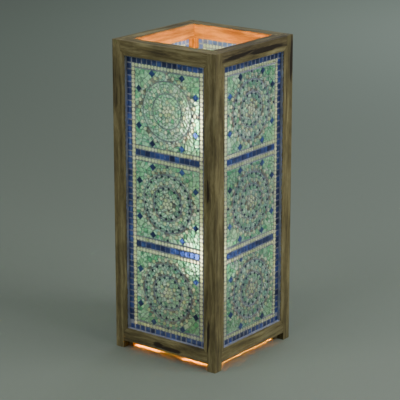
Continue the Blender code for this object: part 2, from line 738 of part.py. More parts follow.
def lead(name, stem_route, side):
    """From under the lampholder's insert, through the stem, and under the bar into the block."""
    top = stem_route[-1] + Vector((0, 0, INSERT_TOP - INSERT_HEIGHT - STEM_IN_HOLDER - LEAD_BELOW_INSERT))
    foot = stem_route[0]
    end = Vector((side * entry_half, entry_y + ENTRY_DEPTH - FIT, entry_z))
    start = foot.y
    clear = side * (NUT_ACROSS_FLATS / 2 + 2 * LEAD_RADIUS + LEAD_CLEARANCE)  # passes the other stem's nut
    below = [Vector((0, start, foot.z)), Vector((side * 0.002, start + 0.002, foot.z - 0.006))]
    if entry_y - start > BLOCK_SIDE:
        below += [
            Vector((side * 0.008, start + 0.010, foot.z - 0.008)),
            Vector((clear, start + 0.022, foot.z - 0.007)),
            Vector((clear, STEM_OFFSET, foot.z - 0.006)),
        ]
    else:
        below.append(Vector((side * 0.005, start + 0.008, foot.z - 0.0075)))
    below += [end - Vector((0, ENTRY_DEPTH + 0.004, 0.0012)), end - Vector((0, ENTRY_DEPTH, 0)), end]
    route = [top, *stem_route[-2:0:-1]] + smooth_route(below, 4)
    place(name, rod_mesh(name, route, LEAD_RADIUS, 2), PVC)


lead("lead_lower", lower_route, 1)
lead("lead_upper", upper_route, -1)


# Cord inlet in the rear bottom rail


def bush_outline(room=0.0):
    """A flanged bush, its flange down, as long as the rail is thick. With room it is the hole for it."""
    flange = BUSH_FLANGE_RADIUS + room
    body = BUSH_RADIUS + room
    if room:
        return ((0, -room), (flange, -room), (flange, BUSH_FLANGE + room), (body, BUSH_FLANGE + room),
                (body, BOARD + BUSH_FLANGE), (0, BOARD + BUSH_FLANGE))
    return ((BUSH_BORE, 0), (flange, 0), (flange, BUSH_FLANGE), (body, BUSH_FLANGE), (body, BOARD),
            (BUSH_BORE, BOARD))


inlet = empty("cord_inlet", at=(INLET_OFFSET, WIDTH / 2, INLET_HEIGHT))
inlet.rotation_euler.x = pi / 2
place("cord_bush", turned("cord_bush", bush_outline()), BLACK_PLASTIC, inlet)
hole = helper("inlet_hole", turned("inlet_hole", bush_outline(FIT)), inlet)
join_or_cut(rails["bottom", "rear"], hole)
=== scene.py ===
"""Looks of the mosaic glass table lamp: tesserae set in grout, oiled wood, lampholders and lit bulbs.

Metres and +Z up, in the frame of the CAD model. The patterns of the panels are laid out in millimetres,
across from the middle of a panel and up from the floor, as seen from outside.
"""

import json
import random
from math import atan2, cos, floor, hypot, pi, radians, sin, tau

import bmesh
import bpy
from mathutils import Matrix, Vector
from mathutils.geometry import delaunay_2d_cdt

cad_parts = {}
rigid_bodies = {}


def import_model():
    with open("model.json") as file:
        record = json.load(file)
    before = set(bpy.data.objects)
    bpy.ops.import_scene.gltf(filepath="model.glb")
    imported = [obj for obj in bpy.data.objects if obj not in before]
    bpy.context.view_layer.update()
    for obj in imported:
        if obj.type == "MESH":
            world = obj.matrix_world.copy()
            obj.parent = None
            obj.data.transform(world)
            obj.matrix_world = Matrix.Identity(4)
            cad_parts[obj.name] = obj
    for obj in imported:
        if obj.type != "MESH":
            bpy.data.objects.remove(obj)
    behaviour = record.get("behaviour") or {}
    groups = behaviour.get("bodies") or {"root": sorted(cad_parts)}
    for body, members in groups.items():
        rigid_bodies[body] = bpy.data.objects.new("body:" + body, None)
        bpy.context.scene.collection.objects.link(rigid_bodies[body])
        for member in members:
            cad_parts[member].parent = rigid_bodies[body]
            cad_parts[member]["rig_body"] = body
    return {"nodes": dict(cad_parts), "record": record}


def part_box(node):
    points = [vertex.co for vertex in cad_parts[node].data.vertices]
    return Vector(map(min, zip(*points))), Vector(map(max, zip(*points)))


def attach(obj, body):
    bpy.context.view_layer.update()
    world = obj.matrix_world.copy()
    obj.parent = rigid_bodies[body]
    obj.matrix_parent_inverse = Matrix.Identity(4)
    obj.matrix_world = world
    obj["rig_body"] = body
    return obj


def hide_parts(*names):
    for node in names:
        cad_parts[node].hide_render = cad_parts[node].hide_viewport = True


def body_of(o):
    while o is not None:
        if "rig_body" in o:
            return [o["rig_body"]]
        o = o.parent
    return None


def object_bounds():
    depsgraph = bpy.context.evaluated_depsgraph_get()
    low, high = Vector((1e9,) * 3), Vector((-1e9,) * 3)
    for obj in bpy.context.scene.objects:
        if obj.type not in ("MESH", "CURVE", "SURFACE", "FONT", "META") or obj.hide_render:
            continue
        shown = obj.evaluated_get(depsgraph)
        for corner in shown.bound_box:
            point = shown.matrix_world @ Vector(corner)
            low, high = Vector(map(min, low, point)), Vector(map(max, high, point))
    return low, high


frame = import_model()
cad_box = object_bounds()

MM = 0.001
FACES = ("front", "right", "rear", "left")  # each is the one before it, a quarter turn on about Z

# Places read from the frame
pane_low, pane_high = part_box("mosaic_front")
sight_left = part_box("bead_front_left")[1].x
sight_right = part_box("bead_front_right")[0].x
sight_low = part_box("bead_front_bottom")[1].z
sight_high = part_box("bead_front_top")[0].z
bead_front, bead_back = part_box("bead_front_top")[0].y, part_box("bead_front_top")[1].y

# Tesserae and grout, in millimetres
TESSERA_CHAMFER = 0.45  # where the cut glass is nibbled round its face
CHAMFER_RISE = 0.45  # how far the face stands out past that edge, as a share of its width
TESSERA_TILT = 0.022  # how far a tessera may lean in its bed, as a slope
DOME_STEPS = ((0.35, 0.35), (0.75, 0.35), (0.95, 0.18))  # inwards, outwards
BEAD_CLEARANCE = 0.1  # between the tesserae and the backs of the beads
GROUT_SUNK = 0.65  # below the faces of the tesserae
GROUT_LAP = 0.12  # how far the grout holds the edge of a tessera
GROUT_EDGE = 2.4  # below the face of a bead, where the grout on its wall ends
GROUT_SKIN = 0.30  # how thick it is on that wall
GROUT_STEP = 3.0  # between two places where the skin's edge changes
WALL_GAP = 0.02  # between that skin and the bead

# The border and the dividers of a panel
BORDER_TILE = (9.4, 9.5)
BORDER_TILES, BORDER_TILE_PITCH, HIGHEST_BORDER_TILE = 42, 12.02, 557.0
TOP_TILE, TOP_TILES, TOP_TILE_PITCH, TOP_TILE_HEIGHT = (9.1, 8.9), 16, 11.85, 568.5
LOW_TILE, LOW_TILES, LOW_TILE_PITCH, LOW_TILE_HEIGHT = (8.9, 8.7), 15, 12.4, 46.6
DIVIDER_TILE, DIVIDER_TILES, DIVIDER_TILE_PITCH = (10.2, 10.2), 13, 11.6
CREAM_DOT = 7.1
COLUMN_DOTS, COLUMN_DOT_PITCH, TOP_DOT_HEIGHT, LOW_DOT_HEIGHT = 66, 7.77, 560.2, 55.2
ROW_DOT, ROW_DOTS, ROW_DOT_PITCH = 6.7, 20, 7.5
DIVIDER_DOT_OFFSETS = (-11.0, 10.2)
FIELD_MARGIN = 1.0

# A medallion and what lies round it
ROSETTE_MIDDLE, ROSETTE_DOT = 6.9, 7.0
INK_SIDE = 3.7  # the small dark squares of the rings
INK_RINGS = ((29.6, 14), (52.6, 22))  # radius, count
GROUT_CIRCLES = (33.3, 56.3)  # bare, 1.5 wide
CIRCLE_HALF_WIDTH = 0.75
DIAMOND_SIDE = 9.3
DIAMONDS = ((34.6, 66.0), (66.3, 35.0))  # across and up, in each quarter of the field
EDGE_DOT, EDGE_DOT_REACH = 4.4, 71.4  # the four small dots on the middles of a field's sides

# The shards of broken sheet
SHARD_JOINT = 1.0
SHARD_RINGS = ((12.4, 6.6), (20.8, 7.0), (26.8, 7.2), (45.2, 7.2), (50.4, 7.2))  # radius, pitch
CIRCLE_PITCH = 6.6  # between the points where shards meet a bare circle
RIM_STEPS = 20  # such points on each side of a field
LOOSE_POINTS = 1500  # tried outside the rings
LOOSE_REACH, LOOSE_GAP = 68.5, 5.4  # how far out they start, and how far apart they are
RING_GAP = 0.55  # of the pitch, the least between two points of the rings
RIM_CLEARANCE, LAID_CLEARANCE = 2.8, 2.2  # from a point to the rim, and to a tessera
QUAD_SHARE = 0.45  # of the pairs of triangles that could be one shard with four sides
LEAST_TURN = 6.0  # at a corner of a shard with four sides, as the cross product of its sides
LEAST_SIDE = 0.3  # of a side, left after the joint is taken off
LEAST_AREA = 2.6

# The glasses of the shards, out to a distance from the middle of the medallion
FIELD_GLASS = (
    (20.6, ("brown", "teal", "teal")), (33.3, ("green", "teal")), (39.5, ("brown", "teal")),
    (56.3, ("teal", "teal", "green")), (62.5, ("brown", "teal")), (999, ("green",) * 6 + ("teal",)),
)
PLAIN_FIELD_GLASS = (
    (56.3, ("teal", "teal", "green")), (66.0, ("brown", "teal", "teal")), (999, ("green",)),
)

# How a tessera finds its place
CELL = 13.0  # more than two tesserae that touch can lie apart
LEAST_JOINT = 0.40  # between two tesserae
NIBBLE = 0.07  # of the outline, taken off at each try
SMALLEST_TESSERA, SMALLEST_SHARD = 0.7, 0.55
LAYING_SLIP, LAYING_TURN = 0.22, 0.045  # a tile's, in mm and radians
DOT_SLIP = 0.1

# Edges that bend by less than this many degrees are shaded smoothly.
SMOOTH_DOTS, SMOOTH_SHARDS, SMOOTH_GROUT, SMOOTH_TURNED = 40, 25, 30, 32


# Nodes and colours


def linear(code):
    """A linear colour from an sRGB hex value."""
    channels = [int(code[start:start + 2], 16) / 255 for start in (0, 2, 4)]
    return (*[c / 12.92 if c <= 0.04045 else ((c + 0.055) / 1.055) ** 2.4 for c in channels], 1.0)


def grey(value):
    return (value, value, value, 1.0)


def set_inputs(tree, node, inputs):
    """Sets a node's inputs to values, or links them to the sockets that are given instead."""
    for key, value in inputs.items():
        if isinstance(value, bpy.types.NodeSocket):
            tree.links.new(value, node.inputs[key])
        else:
            node.inputs[key].default_value = value


def add_node(tree, kind, inputs, stops=(), **settings):
    """Adds a node with its settings, its inputs and, on a colour ramp, its stops."""
    node = tree.nodes.new("ShaderNode" + kind)
    for name, value in settings.items():
        setattr(node, name, value)
    set_inputs(tree, node, inputs)
    for index, (position, colour) in enumerate(stops):
        points = node.color_ramp.elements
        point = points[index] if index < 2 else points.new(position)
        point.position = position
        point.color = colour
    return node


def new_material(name):
    """An empty material, its node tree, and the Principled shader that its output shows."""
    material = bpy.data.materials.new(name)
    material.use_nodes = True
    tree = material.node_tree
    return material, tree, tree.nodes["Principled BSDF"]


# Wood


def oiled_wood(name, grain, dark, middle, light, streak, knots=(), streak_share=0.38):
    """Oiled acacia, planed by hand: olive-brown, half matt, with fine fibres and dark heartwood streaks.

    grain is the axis that the fibres run along. A knot is its place and its reach across and along it.
    """
    material, tree, shader = new_material(name)
    place = add_node(tree, "TexCoord", {}).outputs["Object"]
    along = {"X": (0.07, 1, 1), "Y": (1, 0.07, 1), "Z": (1, 1, 0.07)}[grain]
    # A slow wander, 120 mm long, bends the fibres.
    wander = add_node(tree, "TexNoise", {"Vector": place, "Scale": 9.0, "Detail": 1.0})
    bend = add_node(
        tree, "VectorMath",
        {0: wander.outputs["Color"], 1: (0.5, 0.5, 0.5)}, operation="SUBTRACT",
    )
    bent = add_node(
        tree, "VectorMath",
        {0: bend.outputs["Vector"], 1: (0.016, 0.016, 0.016), 2: place}, operation="MULTIPLY_ADD",
    )
    stretched = add_node(
        tree, "VectorMath", {0: bent.outputs["Vector"], 1: along}, operation="MULTIPLY",
    ).outputs["Vector"]
    # Growth rings about 7 mm apart, cut lengthways.
    rings = add_node(tree, "TexNoise", {"Vector": stretched, "Scale": 140.0, "Detail": 3.0})
    # Fibres are 0.5 mm wide. They are drawn 0.9 mm wide, so that they show.
    fibres = add_node(tree, "TexNoise", {"Vector": stretched, "Scale": 1100.0, "Detail": 2.0})
    figure = add_node(
        tree, "Mix",
        {0: 0.32, 2: rings.outputs["Fac"], 3: fibres.outputs["Fac"]}, data_type="FLOAT",
    )
    tone = add_node(
        tree, "ValToRGB", {"Fac": figure.outputs[0]},
        stops=((0.33, linear(dark)), (0.50, linear(middle)), (0.66, linear(light))),
    )
    # Heartwood streaks, 15 mm wide and 200 mm long.
    heart = add_node(tree, "TexNoise", {"Vector": stretched, "Scale": 62.0, "Detail": 4.0})
    heart_ramp = add_node(
        tree, "ValToRGB", {"Fac": heart.outputs["Fac"]},
        stops=((0.58, grey(0.0)), (0.70, grey(streak_share))),
    )
    mask = heart_ramp.outputs["Color"]
    for spot, across, length in knots:
        reach = [length if axis == grain else across for axis in "XYZ"]
        # How far away the knot is, in reaches. The figure's noise frays its edge.
        offset = add_node(
            tree, "VectorMath", {0: bent.outputs["Vector"], 1: spot}, operation="SUBTRACT",
        )
        scaled = add_node(
            tree, "VectorMath", {0: offset.outputs["Vector"], 1: reach}, operation="DIVIDE",
        )
        far = add_node(tree, "VectorMath", {0: scaled.outputs["Vector"]}, operation="LENGTH")
        nearness = add_node(tree, "Math", {0: far.outputs["Value"], 1: 0.5}, operation="MULTIPLY")
        frayed = add_node(
            tree, "Math", {0: figure.outputs[0], 1: 0.7, 2: nearness.outputs[0]},
            operation="MULTIPLY_ADD",
        )
        knot = add_node(
            tree, "ValToRGB", {"Fac": frayed.outputs[0]},
            stops=((0.74, grey(0.92)), (0.88, grey(0.0))),
        )
        mask = add_node(
            tree, "Mix", {0: 1.0, 6: mask, 7: knot.outputs["Color"]},
            data_type="RGBA", blend_type="LIGHTEN",
        ).outputs[2]
    colour = add_node(
        tree, "Mix", {0: mask, 6: tone.outputs["Color"], 7: linear(streak)}, data_type="RGBA",
    ).outputs[2]
    # Handling: paler and darker patches about 60 mm across.
    patches = add_node(tree, "TexNoise", {"Vector": place, "Scale": 22.0, "Detail": 2.0})
    patch_tone = add_node(
        tree, "ValToRGB", {"Fac": patches.outputs["Fac"]},
        stops=((0.3, grey(0.78)), (0.7, grey(1.18))),
    )
    colour = add_node(
        tree, "Mix", {0: 1.0, 6: colour, 7: patch_tone.outputs["Color"]},
        data_type="RGBA", blend_type="MULTIPLY",
    ).outputs[2]
    rough = add_node(tree, "MapRange", {
        "Value": figure.outputs[0], "From Min": 0.3, "From Max": 0.7, "To Min": 0.62, "To Max": 0.46,
    })
    bump = add_node(tree, "Bump", {"Height": figure.outputs[0], "Strength": 0.5, "Distance": 0.0005})
    set_inputs(tree, shader, {
        "Base Color": colour, "Roughness": rough.outputs["Result"],
        "Normal": bump.outputs["Normal"], "IOR": 1.45,
    })
    return material


# Glass, grout, metals and plastics


def cut_glass(name, deep, pale, clearness, roughness):
    """Rolled sheet glass, cut by hand. Each tessera has its own tint, from deep to pale, its rolled face
    is wavy and glossy, and light from behind shows through it blurred."""
    material, tree, shader = new_material(name)
    place = add_node(tree, "TexCoord", {}).outputs["Object"]
    tint = add_node(tree, "Attribute", {}, attribute_name="tint", attribute_type="GEOMETRY")
    tone = add_node(
        tree, "ValToRGB", {"Fac": tint.outputs["Fac"]},
        stops=((0.0, linear(deep)), (1.0, linear(pale))),
    )
    # Streaks of colour in the sheet, about 5 mm apart.
    cords = add_node(tree, "TexNoise", {"Vector": place, "Scale": 210.0, "Detail": 2.0})
    cord_tone = add_node(
        tree, "ValToRGB", {"Fac": cords.outputs["Fac"]},
        stops=((0.3, grey(0.8)), (0.7, grey(1.15))),
    )
    colour = add_node(
        tree, "Mix", {0: 1.0, 6: tone.outputs["Color"], 7: cord_tone.outputs["Color"]},
        data_type="RGBA", blend_type="MULTIPLY",
    )
    # The waves that the roller leaves, about 2.5 mm apart.
    waves = add_node(tree, "TexNoise", {"Vector": place, "Scale": 420.0, "Detail": 1.0})
    bump = add_node(
        tree, "Bump", {"Height": waves.outputs["Fac"], "Strength": 0.35, "Distance": 0.0004},
    )
    set_inputs(tree, shader, {
        "Base Color": colour.outputs[2], "Normal": bump.outputs["Normal"], "Roughness": roughness,
        "Transmission Weight": clearness, "IOR": 1.5, "Coat Weight": 0.6, "Coat Roughness": 0.12,
    })
    return material


def grout_material():
    """Pale cement grout, wiped while wet: sandy, with a thin lilac-grey haze and darker damp patches."""
    material, tree, shader = new_material("wiped_cement_grout")
    place = add_node(tree, "TexCoord", {}).outputs["Object"]
    patches = add_node(tree, "TexNoise", {"Vector": place, "Scale": 45.0, "Detail": 4.0})
    tone = add_node(
        tree, "ValToRGB", {"Fac": patches.outputs["Fac"]},
        stops=((0.3, linear("888B9A")), (0.5, linear("A2A6B2")), (0.72, linear("BCBEBC"))),
    )
    # Sand, 0.4 mm.
    sand = add_node(tree, "TexNoise", {"Vector": place, "Scale": 2500.0, "Detail": 1.0})
    speckle = add_node(
        tree, "ValToRGB", {"Fac": sand.outputs["Fac"]},
        stops=((0.35, grey(0.82)), (0.65, grey(1.08))),
    )
    colour = add_node(
        tree, "Mix", {0: 1.0, 6: tone.outputs["Color"], 7: speckle.outputs["Color"]},
        data_type="RGBA", blend_type="MULTIPLY",
    )
    bump = add_node(tree, "Bump", {"Height": sand.outputs["Fac"], "Strength": 0.4, "Distance": 0.0003})
    set_inputs(tree, shader, {
        "Base Color": colour.outputs[2], "Roughness": 0.88, "Normal": bump.outputs["Normal"],
    })
    return material


def float_glass():
    """Clear 3 mm float glass with greenish edges. Light from the bulbs passes straight through it."""
    material, tree, shader = new_material("clear_float_glass")
    place = add_node(tree, "TexCoord", {}).outputs["Object"]
    # Dust and wiping marks, 30 mm long.
    marks = add_node(tree, "TexNoise", {"Vector": place, "Scale": 35.0, "Detail": 4.0})
    rough = add_node(tree, "MapRange", {
        "Value": marks.outputs["Fac"], "From Min": 0.4, "From Max": 0.7, "To Min": 0.01, "To Max": 0.09,
    })
    set_inputs(tree, shader, {
        "Base Color": linear("F2FAF6"), "Roughness": rough.outputs["Result"],
        "Transmission Weight": 1.0, "IOR": 1.5,
    })
    clear = add_node(tree, "BsdfTransparent", {"Color": linear("F2FAF6")})
    sight = add_node(tree, "LightPath", {})
    mixed = add_node(
        tree, "MixShader",
        {0: sight.outputs["Is Camera Ray"], 1: clear.outputs["BSDF"], 2: shader.outputs["BSDF"]},
    )
    set_inputs(tree, tree.nodes["Material Output"], {"Surface": mixed.outputs["Shader"]})
    return material


def plain_finish(name, colour, worn, roughness, metallic, grain, **inputs):
    """A moulded, turned or drawn surface: its colour, a worn or dusty colour in patches 8 mm across, and
    a fine grain.

    grain is the size of the texture that the tool or the mould leaves, in metres.
    """
    material, tree, shader = new_material(name)
    place = add_node(tree, "TexCoord", {}).outputs["Object"]
    patches = add_node(tree, "TexNoise", {"Vector": place, "Scale": 120.0, "Detail": 3.0})
    share = add_node(tree, "MapRange", {
        "Value": patches.outputs["Fac"], "From Min": 0.45, "From Max": 0.75,
        "To Min": 0.0, "To Max": 0.5,
    })
    tone = add_node(
        tree, "Mix", {0: share.outputs["Result"], 6: linear(colour), 7: linear(worn)},
        data_type="RGBA",
    )
    texture = add_node(tree, "TexNoise", {"Vector": place, "Scale": 1 / grain, "Detail": 2.0})
    rough = add_node(tree, "MapRange", {
        "Value": texture.outputs["Fac"], "From Min": 0.3, "From Max": 0.7,
        "To Min": roughness * 0.8, "To Max": roughness * 1.2,
    })
    raised = add_node(
        tree, "Bump", {"Height": texture.outputs["Fac"], "Strength": 0.3, "Distance": 0.00005},
    )
    set_inputs(tree, shader, {
        "Base Color": tone.outputs[2], "Roughness": rough.outputs["Result"], "Metallic": metallic,
        "Normal": raised.outputs["Normal"], **inputs,
    })
    return material


def lit_bulb_glass(name, brightness):
    """Etched bulb glass, alight: matt, brightest round its middle and dimmer at its edge."""
    material, tree, shader = new_material(name)
    place = add_node(tree, "TexCoord", {}).outputs["Object"]
    # The etched grain is drawn 0.7 mm wide, so that it shows.
    etch = add_node(tree, "TexNoise", {"Vector": place, "Scale": 1500.0, "Detail": 1.0})
    # The bulb and what it lights directly look orange. What comes through cut glass is paler.
    sight = add_node(tree, "LightPath", {})
    through = add_node(
        tree, "Math", {0: sight.outputs["Transmission Depth"], 1: 0.5}, operation="GREATER_THAN",
    )
    glow = add_node(tree, "Mix", {0: through.outputs[0], 6: BULB_WARM, 7: BULB_PALE}, data_type="RGBA")
    lighting = add_node(tree, "MapRange", {
        "Value": through.outputs[0], "From Min": 0.0, "From Max": 1.0,
        "To Min": brightness, "To Max": BRIGHTNESS_THROUGH_GLASS,
    })
    # Looked at directly it is dimmed, as it is to an eye, and falls off towards its edge.
    edge = add_node(tree, "LayerWeight", {"Blend": 0.4})
    seen = add_node(tree, "MapRange", {
        "Value": edge.outputs["Facing"], "From Min": 0.0, "From Max": 1.0,
        "To Min": BULB_SEEN, "To Max": BULB_SEEN * 0.3,
    })
    strength = add_node(
        tree, "Mix",
        {0: sight.outputs["Is Camera Ray"], 2: lighting.outputs["Result"], 3: seen.outputs["Result"]},
        data_type="FLOAT",
    )
    bump = add_node(
        tree, "Bump", {"Height": etch.outputs["Fac"], "Strength": 0.2, "Distance": 0.0001},
    )
    set_inputs(tree, shader, {
        "Base Color": linear("F3E6D2"), "Roughness": 0.4, "Normal": bump.outputs["Normal"],
        "Emission Color": glow.outputs[2], "Emission Strength": strength.outputs[0],
    })
    return material


# How brightly the bulbs light things, and how bright they look
UPPER_BRIGHTNESS = 215.0
LOWER_BRIGHTNESS = 1500.0  # enough for the glow under the rails
BRIGHTNESS_THROUGH_GLASS = 1100.0
BULB_SEEN = 7.0
BULB_WARM = linear("FF8E1C")
BULB_PALE = linear("FFE2C8")

rail_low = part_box("bottom_rail_front")[0]
top_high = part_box("top_rail_right")[1]
bead_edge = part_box("bead_front_right")[1].x
post_low, post_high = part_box("post_rear_right")
# Knots and dark streaks: the place, the reach across the grain and the reach along it
KNOT_ON_RAIL = (
    (Vector((-0.018, rail_low.y, rail_low.z + 0.009)), 0.0075, 0.014),
    (Vector((0.008, rail_low.y, rail_low.z + 0.006)), 0.0050, 0.036),
)
STREAKS_ON_CORNER_POST = (
    (Vector((bead_edge + 0.002, rail_low.y, 0.352)), 0.0040, 0.022),
    (Vector((bead_edge + 0.004, rail_low.y, 0.068)), 0.0048, 0.034),
)
STREAKS_ON_TOP_RAIL = (
    (Vector((top_high.x, -0.052, top_high.z - 0.012)), 0.0045, 0.045),
    (Vector((top_high.x, 0.030, top_high.z - 0.015)), 0.0055, 0.060),
)
STREAKS_ON_REAR_POST = (
    (Vector((post_high.x, post_low.y + 0.006, 0.500)), 0.0042, 0.030),
    (Vector((post_high.x, post_high.y - 0.004, 0.560)), 0.0050, 0.050),
)
WOOD_TONES = ("4A4028", "7C6F46", "A19568", "2A1D12")  # dark, middle, light, heartwood
DARK_RAIL_TONES = ("3C3220", "655838", "8A7C56", "22170E")

# Navy and ink are deep and let little light through. Cream is milky. Green and teal glow, and brown is a
# greyish smoke colour.
finishes = {
    "navy": cut_glass("navy_cut_glass", "142054", "3450A4", 0.60, 0.34),
    "cream": cut_glass("cream_opal_glass", "DDEBAE", "F8FCE6", 0.80, 0.36),
    "green": cut_glass("green_cut_glass", "54C08E", "C8FCDC", 0.88, 0.30),
    "teal": cut_glass("teal_cut_glass", "80D4C2", "ECFFF8", 0.90, 0.30),
    "brown": cut_glass("smoke_brown_cut_glass", "6A6058", "B5AA9E", 0.80, 0.34),
    "ink": cut_glass("ink_blue_cut_glass", "0E2034", "24445A", 0.50, 0.45),
}
grout_finish = grout_material()
pane_finish = float_glass()


# Tesserae: outlines in millimetres


def turned_point(middle, radius, angle):
    return (middle[0] + radius * cos(angle), middle[1] + radius * sin(angle))


def between(start, end, share):
    return (start[0] + (end[0] - start[0]) * share, start[1] + (end[1] - start[1]) * share)


def middle_of(outline):
    count = len(outline)
    return sum(point[0] for point in outline) / count, sum(point[1] for point in outline) / count


def mean_of(points):
    return sum((Vector(point) for point in points), Vector((0, 0))) / len(points)


def sides_of(outline):
    return zip(outline, outline[1:] + outline[:1])


def area_of(outline):
    return sum(a[0] * b[1] - b[0] * a[1] for a, b in sides_of(outline)) / 2


def inside(point, outline):
    """True if a point lies in a convex outline that runs anticlockwise."""
    return all(
        (end[0] - start[0]) * (point[1] - start[1]) - (end[1] - start[1]) * (point[0] - start[0]) > 0
        for start, end in sides_of(outline)
    )


def inset_outline(outline, amount):
    """A convex outline with each side moved inwards, or outwards where amount is negative."""
    moved = []
    count = len(outline)
    for index, point in enumerate(outline):
        before, after = Vector(outline[index - 1]), Vector(outline[(index + 1) % count])
        here = Vector(point)
        a, b = (here - before).normalized(), (after - here).normalized()
        normal_a, normal_b = Vector((-a.y, a.x)), Vector((-b.y, b.x))
        half = (normal_a + normal_b).normalized()
        moved.append(tuple(here + half * (amount / max(0.3, half.dot(normal_a)))))
    return moved


def parted(first, second):
    """True if two convex outlines lie apart, by one of their own sides."""
    for outline, other in ((first, second), (second, first)):
        for start, end in sides_of(outline):
            normal_x, normal_y = end[1] - start[1], start[0] - end[0]
            if all((x - start[0]) * normal_x + (y - start[1]) * normal_y > 0 for x, y in other):
                return True
    return False


class Panel:
    """The tesserae of one panel, as (glass, outline, tint). One that would touch another is cut smaller."""

    def __init__(self, seed):
        self.chance = random.Random(seed)
        self.laid = []
        self.cells = {}

    def vary(self, amount):
        return self.chance.uniform(-amount, amount)

    def neighbours(self, x, y):
        """What is laid in the cells of the panel round a place."""
        column, row = floor(x / CELL), floor(y / CELL)
        return [
            other for right in (-1, 0, 1) for up in (-1, 0, 1)
            for other in self.cells.get((column + right, row + up), ())
        ]

    def fit(self, outline, smallest, joint):
        """The outline at the largest size that fits, down to a share of what was asked for, or None."""
        x, y = middle_of(outline)
        around = self.neighbours(x, y)
        if any(hypot(x - at_x, y - at_y) < reach for at_x, at_y, reach, other in around):
            return None
        share = 1.0
        while share >= smallest:
            nibbled = [(x + (px - x) * share, y + (py - y) * share) for px, py in outline]
            grown = inset_outline(nibbled, -joint)
            if all(parted(grown, other) for *spot, other in around):
                return nibbled
            share -= NIBBLE
        return None

    def lay(self, glass, outline):
        """Lays a tessera where nothing lies yet."""
        nibbled = self.fit(outline, SMALLEST_TESSERA, LEAST_JOINT)
        if nibbled:
            x, y = middle_of(nibbled)
            # Nothing else may have its middle this near.
            reach = min(hypot(px - x, py - y) for px, py in nibbled) * 0.5 + 1.0
            self.cells.setdefault((floor(x / CELL), floor(y / CELL)), []).append((x, y, reach, nibbled))
            self.laid.append((glass, nibbled, self.chance.random()))

    def lay_shard(self, glass, outline):
        """Lays a shard of broken sheet, which only has to clear the tesserae laid before it."""
        nibbled = self.fit(outline, SMALLEST_SHARD, SHARD_JOINT / 2)
        if nibbled:
            self.laid.append((glass, nibbled, self.chance.random()))

    def tile(self, glass, middle, width, height, turn=0.0):
        """A cut rectangle, a little out of true."""
        turn += self.vary(LAYING_TURN)
        middle = (middle[0] + self.vary(LAYING_SLIP), middle[1] + self.vary(LAYING_SLIP))
        corners = []
        for across, up in ((-1, -1), (1, -1), (1, 1), (-1, 1)):
            x = across * width / 2 + self.vary(LAYING_SLIP)
            y = up * height / 2 + self.vary(LAYING_SLIP)
            corners.append(
                (middle[0] + x * cos(turn) - y * sin(turn), middle[1] + x * sin(turn) + y * cos(turn))
            )
        self.lay(glass, corners)

    def dot(self, glass, middle, size=CREAM_DOT, sides=10):
        """A nibbled disc, a little out of place and out of round."""
        middle = (middle[0] + self.vary(DOT_SLIP), middle[1] + self.vary(DOT_SLIP))
        start = self.chance.random()
        self.lay(glass, [
            turned_point(middle, size / 2 * (1 + self.vary(0.02)), tau * (step + start) / sides)
            for step in range(sides)
        ])


def ring(panel, middle, count, radius, phase):
    """The places of a ring, each with its angle."""
    for step in range(count):
        angle = phase + tau * step / count + panel.vary(0.015)
        yield turned_point(middle, radius + panel.vary(0.25), angle), angle


def rosette(panel, middle, inked, phase):
    """The dots and the small dark squares of a round medallion."""
    panel.dot("cream", middle, ROSETTE_MIDDLE)
    dot_rings = ((7.8, 6, phase), (17.2, 6, radians(90)), (40.2, 17, phase), (64.4, 28, phase))
    for radius, count, turn in dot_rings:
        for place, angle in ring(panel, middle, count, radius, turn):
            panel.dot("cream", place, ROSETTE_DOT, 8)
    for radius, count in INK_RINGS if inked else ():
        for place, angle in ring(panel, middle, count, radius, phase):
            panel.tile("ink", place, INK_SIDE, INK_SIDE, angle + pi / 4)


def field_glass(panel, far, inked):
    """The glass of a shard, by how far it lies from the middle of its medallion."""
    bands = FIELD_GLASS if inked else PLAIN_FIELD_GLASS
    return panel.chance.choice(next(glasses for reach, glasses in bands if far < reach))


def free_points(panel, left, right, half_height, held, taken):
    """Where the shards of a field meet: on the rings, clear of what is laid, then where there is room.

    held are the outlines of what is laid, and taken the points that the field has already.
    """
    points = list(taken)
    blocked = [(mean_of(outline), outline) for outline in held]
    wanted = []
    for radius, pitch in SHARD_RINGS:
        count = round(tau * radius / pitch)
        start = panel.chance.random()
        for step in range(count):
            angle = tau * (step + start + panel.vary(0.12)) / count
            spot = Vector(turned_point((0, 0), radius + panel.vary(0.4), angle))
            wanted.append((spot, RING_GAP * pitch))
    for attempt in range(LOOSE_POINTS):
        spot = Vector((panel.chance.uniform(left, right), panel.vary(half_height)))
        if spot.length > LOOSE_REACH:
            wanted.append((spot, LOOSE_GAP))
    for spot, gap in wanted:
        if not left + RIM_CLEARANCE < spot.x < right - RIM_CLEARANCE:
            continue
        if abs(spot.y) > half_height - RIM_CLEARANCE:
            continue
        if any((spot - other).length < gap for other in points):
            continue
        if any(
            (spot - centre).length < LAID_CLEARANCE + (Vector(outline[0]) - centre).length
            for centre, outline in blocked
        ):
            continue
        points.append(spot)
    return points[len(taken):]


